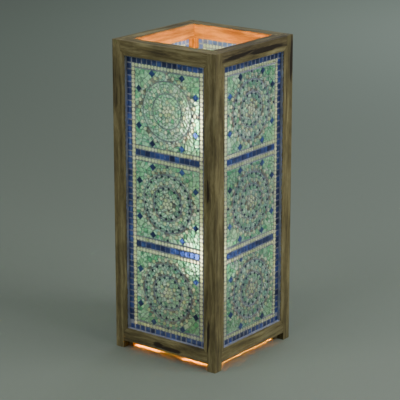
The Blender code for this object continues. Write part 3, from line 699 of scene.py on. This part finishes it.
def field_triangles(panel, left, right, half_height, held):
    """Breaks a field into triangles round the outlines held in it. Returns all corners, and the triangles
    as their places in that list."""
    loops = list(held)
    for circle in GROUT_CIRCLES:
        for radius in (circle - CIRCLE_HALF_WIDTH, circle + CIRCLE_HALF_WIDTH):
            count = round(tau * radius / CIRCLE_PITCH)
            start = panel.chance.random()
            loops.append([
                turned_point((0, 0), radius, tau * (step + start + panel.vary(0.15)) / count)
                for step in range(count)
            ])
    rim = []
    ends = ((left, -half_height), (right, -half_height), (right, half_height), (left, half_height))
    for start, end in sides_of(ends):
        for step in range(RIM_STEPS):
            share = (step + (panel.vary(0.2) if step else 0)) / RIM_STEPS
            rim.append(between(start, end, share))
    loops.append(rim)
    points, edges = [], []
    for loop in loops:
        first = len(points)
        points.extend(Vector(corner) for corner in loop)
        edges.extend((first + step, first + (step + 1) % len(loop)) for step in range(len(loop)))
    points.extend(free_points(panel, left, right, half_height, held, points))
    result = delaunay_2d_cdt(points, edges, [], 1, 1e-4, False)
    corners, triangles = result[0], []
    for triangle in result[2]:
        centre = mean_of([corners[index] for index in triangle])
        if any(abs(centre.length - circle) < CIRCLE_HALF_WIDTH + 0.05 for circle in GROUT_CIRCLES):
            continue
        if not any(inside(centre, outline) for outline in held):
            triangles.append(tuple(triangle))
    return corners, triangles


def joined_in_pairs(panel, corners, triangles):
    """Joins some pairs of triangles across the side they share, the longest first, to shards with four
    sides."""
    shards = dict.fromkeys(triangles)
    by_edge = {}
    for triangle in triangles:
        for edge in sides_of(triangle):
            by_edge.setdefault(tuple(sorted(edge)), []).append(triangle)
    pairs = sorted(
        (pair for pair in by_edge.items() if len(pair[1]) == 2),
        key=lambda pair: -(corners[pair[0][0]] - corners[pair[0][1]]).length,
    )
    for edge, (first, second) in pairs:
        if first not in shards or second not in shards or panel.chance.random() > QUAD_SHARE:
            continue
        apart = next(index for index in second if index not in edge)
        place = next(step for step in range(3) if {first[step], first[(step + 1) % 3]} == set(edge))
        outline = (*first[:place + 1], apart, *first[place + 1:])
        turns = [
            (corners[outline[step]] - corners[outline[step - 1]]).cross(
                corners[outline[(step + 1) % 4]] - corners[outline[step]])
            for step in range(4)
        ]
        if min(turns) > LEAST_TURN:
            del shards[first], shards[second]
            shards[outline] = None
    return list(shards)


def broken_sheet(panel, middle, left, right, half_height, inked, held):
    """Fills a field with shards of broken sheet, between the outlines held in it."""
    corners, triangles = field_triangles(panel, left, right, half_height, held)
    for indices in joined_in_pairs(panel, corners, triangles):
        cell = [tuple(corners[index]) for index in indices]
        shard = inset_outline(cell, SHARD_JOINT / 2)
        # A side that the joint has turned round or left too short makes the shard a sliver.
        kept = all(
            (Vector(b) - Vector(a)).dot(Vector(d) - Vector(c))
            > LEAST_SIDE * (Vector(b) - Vector(a)).length
            for (a, b), (c, d) in zip(sides_of(cell), sides_of(shard))
        )
        if kept and area_of(shard) > LEAST_AREA:
            glass = field_glass(panel, mean_of(shard).length, inked)
            panel.lay_shard(glass, [(middle[0] + x, middle[1] + y) for x, y in shard])


def module(panel, middle, left, right, half_height, inked, phase):
    """One square field: the medallion, the navy diamonds round it, and the broken sheet between them."""
    first = len(panel.laid)
    rosette(panel, middle, inked, phase)
    for sign_x in (-1, 1):
        for sign_y in (-1, 1):
            for across, up in DIAMONDS:
                place = (middle[0] + sign_x * across, middle[1] + sign_y * up)
                panel.tile("navy", place, DIAMOND_SIDE, DIAMOND_SIDE, pi / 4)
    for across, up in ((0, 1), (0, -1), (1, 0), (-1, 0)):
        place = (middle[0] + across * EDGE_DOT_REACH, middle[1] + up * EDGE_DOT_REACH)
        panel.dot("ink" if inked else "brown", place, EDGE_DOT, 8)
    held = []
    for glass, outline, shade in panel.laid[first:]:
        if len(outline) < 6:
            held.append([(x - middle[0], y - middle[1]) for x, y in outline])
            continue
        # A disc is held as the hexagon round it, so that the shards beside it aren't slivers.
        x, y = middle_of(outline)
        radius = hypot(outline[0][0] - x, outline[0][1] - y) / cos(pi / 6)
        start = panel.chance.random()
        held.append([
            turned_point((x - middle[0], y - middle[1]), radius, pi / 3 * (step + start))
            for step in range(6)
        ])
    broken_sheet(panel, middle, left, right, half_height, inked, held)


def row_places(count, pitch, middle, height, rise):
    """The places of a level row, and how it slopes. rise is how far its right end is laid too high."""
    slope = rise / (count * pitch)
    for step in range(count):
        across = (step - (count - 1) / 2) * pitch
        yield (middle + across, height + rise * across / (count * pitch)), slope


def tile_row(panel, size, count, pitch, middle, height, rise=0.0):
    for place, slope in row_places(count, pitch, middle, height, rise):
        panel.tile("navy", place, *size, slope)


def dot_row(panel, middle, height, rise=0.0):
    for place, slope in row_places(ROW_DOTS, ROW_DOT_PITCH, middle, height, rise):
        panel.dot("cream", place, ROW_DOT)


def lay_panel(seed, middle, cream_column, navy_column, dividers, modules):
    """Lays one panel from its border inwards.

    A column is given by how far it stands from the middle, a divider by its height and its rise, and a
    module by its middle, half its height and whether it has rings of dark squares.
    """
    panel = Panel(seed)
    tile_row(panel, TOP_TILE, TOP_TILES, TOP_TILE_PITCH, middle, TOP_TILE_HEIGHT)
    tile_row(panel, LOW_TILE, LOW_TILES, LOW_TILE_PITCH, middle, LOW_TILE_HEIGHT)
    for side in (-1, 1):
        for step in range(BORDER_TILES):
            height = HIGHEST_BORDER_TILE - BORDER_TILE_PITCH * step
            panel.tile("navy", (middle + side * navy_column, height), *BORDER_TILE)
        for step in range(COLUMN_DOTS):
            height = TOP_DOT_HEIGHT - COLUMN_DOT_PITCH * step
            panel.dot("cream", (middle + side * cream_column, height))
    dot_row(panel, middle, TOP_DOT_HEIGHT)
    dot_row(panel, middle, LOW_DOT_HEIGHT)
    for height, rise in dividers:
        tile_row(panel, DIVIDER_TILE, DIVIDER_TILES, DIVIDER_TILE_PITCH, middle, height, rise)
        for offset in DIVIDER_DOT_OFFSETS:
            dot_row(panel, middle, height + offset, rise)
    half_width = cream_column - CREAM_DOT / 2 - FIELD_MARGIN
    for (across, height), half_height, inked in modules:
        phase = panel.chance.random()
        place = (middle + across, height)
        module(panel, place, -half_width - across, half_width - across, half_height, inked, phase)
    return panel


# The dividers of three panels rise or fall a little.
PANELS = {
    "front": lay_panel(
        11, 1.8, 79.2, 88.6, ((394.6, 0.0), (216.2, 0.0)),
        (((0, 482.0), 72.5, False), ((0, 305.5), 73.5, True), ((0, 131.5), 70.0, True)),
    ),
    "right": lay_panel(
        23, 0.5, 78.6, 87.6, ((395.0, 1.2), (216.0, 3.4)),
        (((0, 482.0), 72.5, True), ((1.0, 305.5), 73.5, True), ((5.0, 131.5), 70.0, True)),
    ),
    "rear": lay_panel(
        37, 0.0, 79.0, 88.0, ((395.0, -1.0), (216.0, 0.8)),
        (((0, 482.0), 72.5, True), ((0, 305.5), 73.5, True), ((0, 131.5), 70.0, True)),
    ),
    "left": lay_panel(
        41, -0.6, 79.0, 88.0, ((394.6, 0.6), (216.4, -1.2)),
        (((0, 482.0), 72.5, True), ((-1.0, 305.5), 73.5, True), ((0, 131.5), 70.0, True)),
    ),
}


# Meshes


def finish_piece(name, bm, finish, turn, smooth_below, slot, replaces=(), body="root"):
    """Makes a piece of a bmesh, turned about Z, with its finish, on its body.

    smooth_below is in degrees, or None to shade it flat.
    """
    if turn:
        turning = Matrix.Rotation(turn, 3, "Z")
        bmesh.ops.rotate(bm, verts=bm.verts, cent=(0, 0, 0), matrix=turning)
    bmesh.ops.recalc_face_normals(bm, faces=bm.faces)
    mesh = bpy.data.meshes.new(name)
    bm.to_mesh(mesh)
    bm.free()
    if smooth_below is not None:
        mesh.shade_smooth()
        mesh.set_sharp_from_angle(angle=radians(smooth_below))
    mesh.materials.append(finish)
    piece = bpy.data.objects.new(name, mesh)
    bpy.context.scene.collection.objects.link(piece)
    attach(piece, body)
    if replaces:
        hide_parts(*replaces)


def made_of(kind, made):
    """The vertices or the faces that an extrusion made."""
    return [part for part in made["geom"] if isinstance(part, kind)]


def tesserae(face, turn, glass, laid, chance):
    """All the tesserae of one glass in a panel. Each is a prism with a nibbled edge; discs are domed."""
    bm = bmesh.new()
    tint = bm.verts.layers.float.new("tint")
    back, front = pane_high.y, pane_low.y
    flat, round_ones = [], []
    for outline, shade in laid:
        verts = [bm.verts.new((x * MM, back, z * MM)) for x, z in outline]
        for vert in verts:
            vert[tint] = shade
        (flat if len(outline) < 6 else round_ones).append(bm.faces.new(verts))
    made = bmesh.ops.extrude_face_region(bm, geom=flat + round_ones)
    bmesh.ops.translate(bm, verts=made_of(bmesh.types.BMVert, made), vec=(0, front - back, 0))
    fronts = made_of(bmesh.types.BMFace, made)
    for part in fronts:
        middle = part.calc_center_median()
        lean_x = chance.uniform(-1, 1) * TESSERA_TILT
        lean_z = chance.uniform(-1, 1) * TESSERA_TILT
        raised = chance.uniform(-0.15, 0.1) * MM
        for vert in part.verts:
            vert.co.y += raised + lean_x * (vert.co.x - middle.x) + lean_z * (vert.co.z - middle.z)
    chamfer = TESSERA_CHAMFER * MM
    cut = [part for part in fronts if len(part.verts) < 6]
    domed = [part for part in fronts if len(part.verts) >= 6]
    if cut:
        bmesh.ops.inset_individual(
            bm, faces=cut, thickness=chamfer, depth=chamfer * CHAMFER_RISE, use_even_offset=True,
        )
    for thickness, depth in DOME_STEPS if domed else ():
        bmesh.ops.inset_individual(
            bm, faces=domed, thickness=thickness * MM, depth=depth * MM, use_even_offset=True,
        )
    # The tesserae stand on the pane and reach no further out than the beads' backs.
    for vert in bm.verts:
        vert.co.y = max(vert.co.y, bead_back + BEAD_CLEARANCE * MM)
    names = {"cream": "cream_dots", "navy": "navy_tiles", "ink": "ink_tiles"}
    finish_piece(
        f"{names.get(glass, glass + '_shards')}_{face}", bm, finishes[glass], turn,
        SMOOTH_DOTS if glass == "cream" else SMOOTH_SHARDS, "mosaic", (f"mosaic_{face}",),
    )


def grout_sheet(face, turn, outlines):
    """The bed of grout, with a hole for each tessera."""
    bm = bmesh.new()
    front = pane_low.y + GROUT_SUNK * MM
    rim = (
        (pane_low.x, pane_low.z), (pane_high.x, pane_low.z), (pane_high.x, pane_high.z),
        (pane_low.x, pane_high.z),
    )
    loops = [rim] + [
        [(x * MM, z * MM) for x, z in inset_outline(outline, GROUT_LAP)] for outline in outlines
    ]
    for loop in loops:
        for pair in sides_of([bm.verts.new((x, front, z)) for x, z in loop]):
            bm.edges.new(pair)
    bmesh.ops.triangle_fill(bm, use_beauty=True, edges=bm.edges, normal=(0, -1, 0))
    made = bmesh.ops.extrude_face_region(bm, geom=list(bm.faces))
    back_verts = made_of(bmesh.types.BMVert, made)
    bmesh.ops.translate(bm, verts=back_verts, vec=(0, pane_high.y - front, 0))
    finish_piece(f"grout_{face}", bm, grout_finish, turn, None, "mosaic", (f"mosaic_{face}",))


def grout_edge(face, turn, chance):
    """The skin of grout left on the inner walls of the beads, from the mosaic out to a ragged edge."""
    bm = bmesh.new()
    across = (sight_left + WALL_GAP * MM, sight_right - WALL_GAP * MM)
    upright = (sight_low + WALL_GAP * MM, sight_high - WALL_GAP * MM)
    ends = (
        (across[0], upright[0]), (across[1], upright[0]), (across[1], upright[1]),
        (across[0], upright[1]),
    )
    walls = []
    for start, end in sides_of(ends):
        steps = round(hypot(end[0] - start[0], end[1] - start[1]) / MM / GROUT_STEP)
        for step in range(steps):
            share = step / steps
            walls.append(between(start, end, share))
    middle = ((across[0] + across[1]) / 2, (upright[0] + upright[1]) / 2)
    rows = []
    for x, z in walls:
        skin = (GROUT_SKIN + chance.uniform(-0.1, 0.15)) * MM
        inner_x = x + (skin if x < middle[0] else -skin) * (x in across)
        inner_z = z + (skin if z < middle[1] else -skin) * (z in upright)
        edge = bead_front + (GROUT_EDGE + chance.uniform(-0.7, 0.9)) * MM
        rows.append([
            bm.verts.new(corner) for corner in (
                (x, edge, z), (inner_x, edge + 0.25 * MM, inner_z),
                (inner_x, bead_back, inner_z), (x, bead_back, z),
            )
        ])
    for row, following in sides_of(rows):
        for (near, next_near), (far, next_far) in zip(sides_of(row), sides_of(following)):
            bm.faces.new((near, next_near, next_far, far))
    finish_piece(f"grout_edge_{face}", bm, grout_finish, turn, SMOOTH_GROUT, "mosaic")


for quarter, face in enumerate(FACES):
    chance = random.Random(quarter)
    turn = quarter * pi / 2
    by_glass = {}
    for glass, outline, shade in PANELS[face].laid:
        by_glass.setdefault(glass, []).append((outline, shade))
    for glass, laid in by_glass.items():
        tesserae(face, turn, glass, laid, chance)
    grout_sheet(face, turn, [outline for glass, outline, shade in PANELS[face].laid])
    grout_edge(face, turn, chance)


# The frame and what is inside it

woods = {
    "Z": oiled_wood("oiled_acacia_posts", "Z", *WOOD_TONES),
    "X": oiled_wood("oiled_acacia_rails_across", "X", *WOOD_TONES),
    "Y": oiled_wood("oiled_acacia_rails_along", "Y", *WOOD_TONES),
}
MARKED_WOODS = {
    "post_front_right": oiled_wood(
        "oiled_acacia_streaked_post", "Z", *WOOD_TONES, knots=STREAKS_ON_CORNER_POST,
    ),
    "bottom_rail_front": oiled_wood(
        "oiled_acacia_knotty_rail", "X", *WOOD_TONES, knots=KNOT_ON_RAIL,
    ),
    "top_rail_right": oiled_wood(
        "oiled_acacia_dark_rail", "Y", *DARK_RAIL_TONES, knots=STREAKS_ON_TOP_RAIL, streak_share=0.6,
    ),
    "post_rear_right": oiled_wood(
        "oiled_acacia_rear_post", "Z", *WOOD_TONES, knots=STREAKS_ON_REAR_POST,
    ),
}
# Warm yellow with brown tarnish in patches, and fine lines from drawing
brass = plain_finish("drawn_brass", "B08A4A", "7A6234", 0.32, 1.0, 0.0008)
# Cool light grey with a soft shine
zinc = plain_finish("zinc_plated_steel", "B9BBB6", "8E8F88", 0.36, 1.0, 0.0006)
# Silvery, the brightest of the metals
aluminium = plain_finish("rolled_aluminium", "C9CACC", "A4A6A8", 0.28, 1.0, 0.0006)
# Nearly black, with a soft gloss and greyer where dust lies
phenolic = plain_finish("moulded_phenolic", "17171A", "2A2A2C", 0.38, 0.0, 0.0012, IOR=1.55)
# Off-white under a glossy glaze
porcelain = plain_finish("glazed_porcelain", "DDD9CC", "C9C2B0", 0.18, 0.0, 0.0030, IOR=1.52)
# Off-white and half matt
nylon = plain_finish("moulded_nylon", "C9C9C2", "B5B2A6", 0.45, 0.0, 0.0010, IOR=1.53)
# Greyish beige and half matt, a little yellowed
pvc = plain_finish("pvc_covered_flex", "C4BEB0", "A79F8E", 0.5, 0.0, 0.0015, IOR=1.53)
# Pale grey and glassy, with the wires' shine
filament = plain_finish("glass_foot_and_wire", "C8C8C6", "A8A8A4", 0.25, 0.6, 0.0010)
bulb_finishes = {
    "bulb_upper_glass": lit_bulb_glass("etched_bulb_glass_upper", UPPER_BRIGHTNESS),
    "bulb_lower_glass": lit_bulb_glass("etched_bulb_glass_lower", LOWER_BRIGHTNESS),
}
# Turned and moulded parts, and flat ones, by their slots
ROUND_FINISHES = {
    "zinc_steel": zinc, "brass_tube": brass, "black_plastic": phenolic, "porcelain": porcelain,
    "aluminium": aluminium, "filament_mount": filament, "lead_pvc": pvc,
}
FLAT_FINISHES = {"white_plastic": nylon, "pane_glass": pane_finish, "bar_wood": woods["Y"]}
EASED_EDGE = 0.0004


def wood_for(node):
    """The wood of a part of the frame, with its grain along the part."""
    if node in MARKED_WOODS:
        return MARKED_WOODS[node]
    if node.startswith("post_") or node.startswith("bead_") and node.endswith(("_left", "_right")):
        return woods["Z"]
    return woods["X"] if "front" in node or "rear" in node else woods["Y"]


for subpart in frame["record"]["subparts"]:
    node, slot = subpart["node"], subpart["material_slot"]
    if slot == "mosaic":
        continue
    solid = frame["nodes"][node]
    round_finish = ROUND_FINISHES.get(slot) or bulb_finishes.get(node)
    if round_finish:
        # The CAD solid with its points merged, so that it shades smoothly
        bm = bmesh.new()
        bm.from_mesh(solid.data)
        bmesh.ops.remove_doubles(bm, verts=bm.verts, dist=1e-6)
        finish_piece(
            node + "_turned", bm, round_finish, 0.0, SMOOTH_TURNED, slot, (node,),
            body_of(solid)[0],
        )
        continue
    solid.data.materials.clear()
    solid.data.materials.append(FLAT_FINISHES.get(slot) or wood_for(node))
    if slot.endswith("_wood"):
        # Edges that hands and sandpaper have rounded.
        eased = solid.modifiers.new("eased_edges", "BEVEL")
        eased.width = EASED_EDGE
        eased.segments = 2
        eased.limit_method = "ANGLE"
        eased.angle_limit = radians(40)


# Screws that hold the bar to the rails, and those of the terminals

# A head from its edge to the bottom of its cross recess: share of the radius, share of the height, and
# how deep the four arms of the cross are
HEAD_PROFILE = (
    (0.97, 0.0, 0.0), (1.0, 0.10, 0.0), (1.0, 0.32, 0.0), (0.90, 0.66, 0.0), (0.70, 0.90, 0.0),
    (0.50, 0.98, 0.10), (0.44, 0.96, 0.34), (0.34, 0.55, 0.34), (0.16, 0.40, 0.20),
)
BAR_SCREW_X = 0.014
BAR_SCREW_RADIUS, BAR_SCREW_HEIGHT = 0.0036, 0.0022
TERMINAL_X, TERMINAL_Y = 0.0055, 0.005
TERMINAL_SCREW_DEPTH = 0.0035
TERMINAL_SCREW_RADIUS, TERMINAL_SCREW_HEIGHT = 0.00165, 0.0014


def screw_heads(name, places, radius, height):
    """Pan heads with a cross recess, which look down."""
    bm = bmesh.new()
    for place in places:
        disc = bmesh.ops.create_circle(
            bm, cap_ends=True, radius=radius, segments=24, matrix=Matrix.Translation(place),
        )
        head = disc["verts"][0].link_faces[0]
        for row, (share, rise, cross) in enumerate(HEAD_PROFILE):
            if row:
                made = bmesh.ops.extrude_face_region(bm, geom=[head])
                if row > 1:  # the first face stays, as the underside of the head
                    bm.faces.remove(head)
                head = made_of(bmesh.types.BMFace, made)[0]
            for vert in head.verts:
                angle = atan2(vert.co.y - place[1], vert.co.x - place[0])
                reach = radius * share * (1 + cross * cos(4 * angle))
                vert.co = (*turned_point(place, reach, angle), place[2] - height * rise)
    finish_piece(name, bm, zinc, 0.0, SMOOTH_TURNED, "zinc_steel")


bar_low, bar_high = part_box("base_bar")
screw_y = (abs(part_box("bottom_rail_front")[1].y) + bar_high.y) / 2
screw_heads(
    "bar_screws",
    [(x, y, bar_low.z) for x in (-BAR_SCREW_X, BAR_SCREW_X) for y in (-screw_y, screw_y)],
    BAR_SCREW_RADIUS, BAR_SCREW_HEIGHT,
)
block_low, block_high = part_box("terminal_block")
terminal_y = (block_low.y + block_high.y) / 2
screw_heads(
    "terminal_screws",
    [(x, terminal_y + y, block_low.z + TERMINAL_SCREW_DEPTH)
     for x in (-TERMINAL_X, TERMINAL_X) for y in (-TERMINAL_Y, TERMINAL_Y)],
    TERMINAL_SCREW_RADIUS, TERMINAL_SCREW_HEIGHT,
)


# Floor, lights and camera

FLOOR_SIZE = 12.0  # m, half of its side
FLOOR_GAP = 0.0002
AIR_LIGHT = 0.28
DAYLIGHT = "F3F6FF"
CAMERA_AZIMUTH, CAMERA_ELEVATION = 37.47, 16.22
CAMERA_DISTANCE = 13.92  # times the width of the lamp
CAMERA_LENS = 157.8
CAMERA_SHIFT = (-0.008, -0.0185)

floor_material, floor_tree, floor_shader = new_material("pale_floor")
set_inputs(floor_tree, floor_shader, {"Base Color": linear("8B9382"), "Roughness": 0.75})
bm = bmesh.new()
bmesh.ops.create_grid(bm, x_segments=1, y_segments=1, size=FLOOR_SIZE)
floor_mesh = bpy.data.meshes.new("floor")
bm.to_mesh(floor_mesh)
bm.free()
floor_mesh.materials.append(floor_material)
floor_object = bpy.data.objects.new("floor", floor_mesh)
floor_object.location.z = -FLOOR_GAP
bpy.context.scene.collection.objects.link(floor_object)

world = bpy.data.worlds.new("studio")
bpy.context.scene.world = world
world.use_nodes = True
set_inputs(
    world.node_tree, world.node_tree.nodes["Background"],
    {"Color": linear("C9D4D8"), "Strength": AIR_LIGHT},
)

low, high = cad_box
middle = (low + high) / 2


def look_from(name, data, azimuth, elevation, distance, target=middle):
    """Sets up a light or a camera that looks at its target. Azimuth 0 is in front, 90 to the right."""
    azimuth, elevation = radians(azimuth), radians(elevation)
    away = Vector((sin(azimuth) * cos(elevation), -cos(azimuth) * cos(elevation), sin(elevation)))
    looking = bpy.data.objects.new(name, data)
    looking.location = target + away * distance
    looking.rotation_euler = away.to_track_quat("Z", "Y").to_euler()
    bpy.context.scene.collection.objects.link(looking)
    return looking


def softbox(name, size, energy, colour, *place):
    """A square soft light, size metres wide, at a place as look_from takes it."""
    light = bpy.data.lights.new(name, "AREA")
    light.energy = energy
    light.size = size
    light.color = linear(colour)[:3]
    look_from(name, light, *place)


softbox("right_light", 1.6, 34, DAYLIGHT, 100, 35, 2.4)
softbox("front_light", 1.8, 24, DAYLIGHT, -10, 40, 2.8)
softbox("top_light", 2.2, 7, DAYLIGHT, 0, 88, 2.6)
# A paler patch of floor, far behind the lamp and to its right as the camera sees it
softbox("background_light", 1.4, 30, "E4F0FF", 0, 88, 1.9, Vector((-0.9, 3.5, 0)))

camera = bpy.data.cameras.new("camera")
camera.lens = CAMERA_LENS
camera.sensor_width = 36
camera.shift_x, camera.shift_y = CAMERA_SHIFT
camera.clip_end = 100
bpy.context.scene.camera = look_from(
    "camera", camera, CAMERA_AZIMUTH, CAMERA_ELEVATION, CAMERA_DISTANCE * (high.x - low.x),
)
